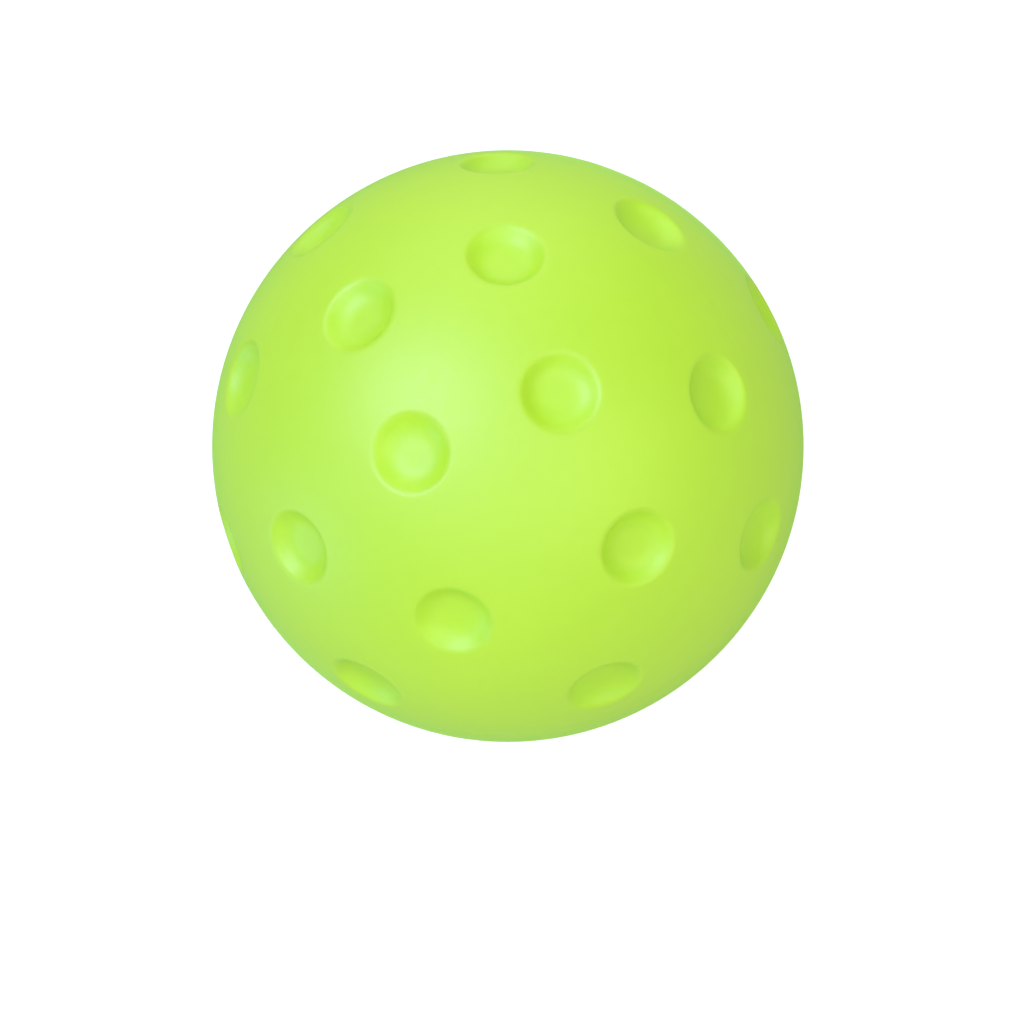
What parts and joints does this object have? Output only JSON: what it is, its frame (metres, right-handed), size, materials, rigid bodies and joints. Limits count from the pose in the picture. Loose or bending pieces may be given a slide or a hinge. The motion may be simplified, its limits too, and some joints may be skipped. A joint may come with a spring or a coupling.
{
  "type": "foam pickleball",
  "caption": "Round soft foam ball with shallow round dimples all over its tough, smooth, neon green skin; for quiet pickleball play.",
  "frame": {"origin": "the ball's centre", "axes": "+Z along the mould's axis, the four-fold axis of the dimples, out of the centre of the upper skin half; the parting line of the skin lies in the plane z = 0; the lower skin half has the upper one's dimples turned over about X and drawn a little towards its own pole"},
  "size_m": [0.074, 0.074, 0.074],
  "materials": {
    "skin_upper": "satin",
    "skin_lower": "satin",
    "foam": "matte"
  },
  "bodies": {
    "root": {"skin_upper_half": "skin_upper", "skin_lower_half": "skin_lower", "foam_core": "foam"}
  },
  "joints": []
}
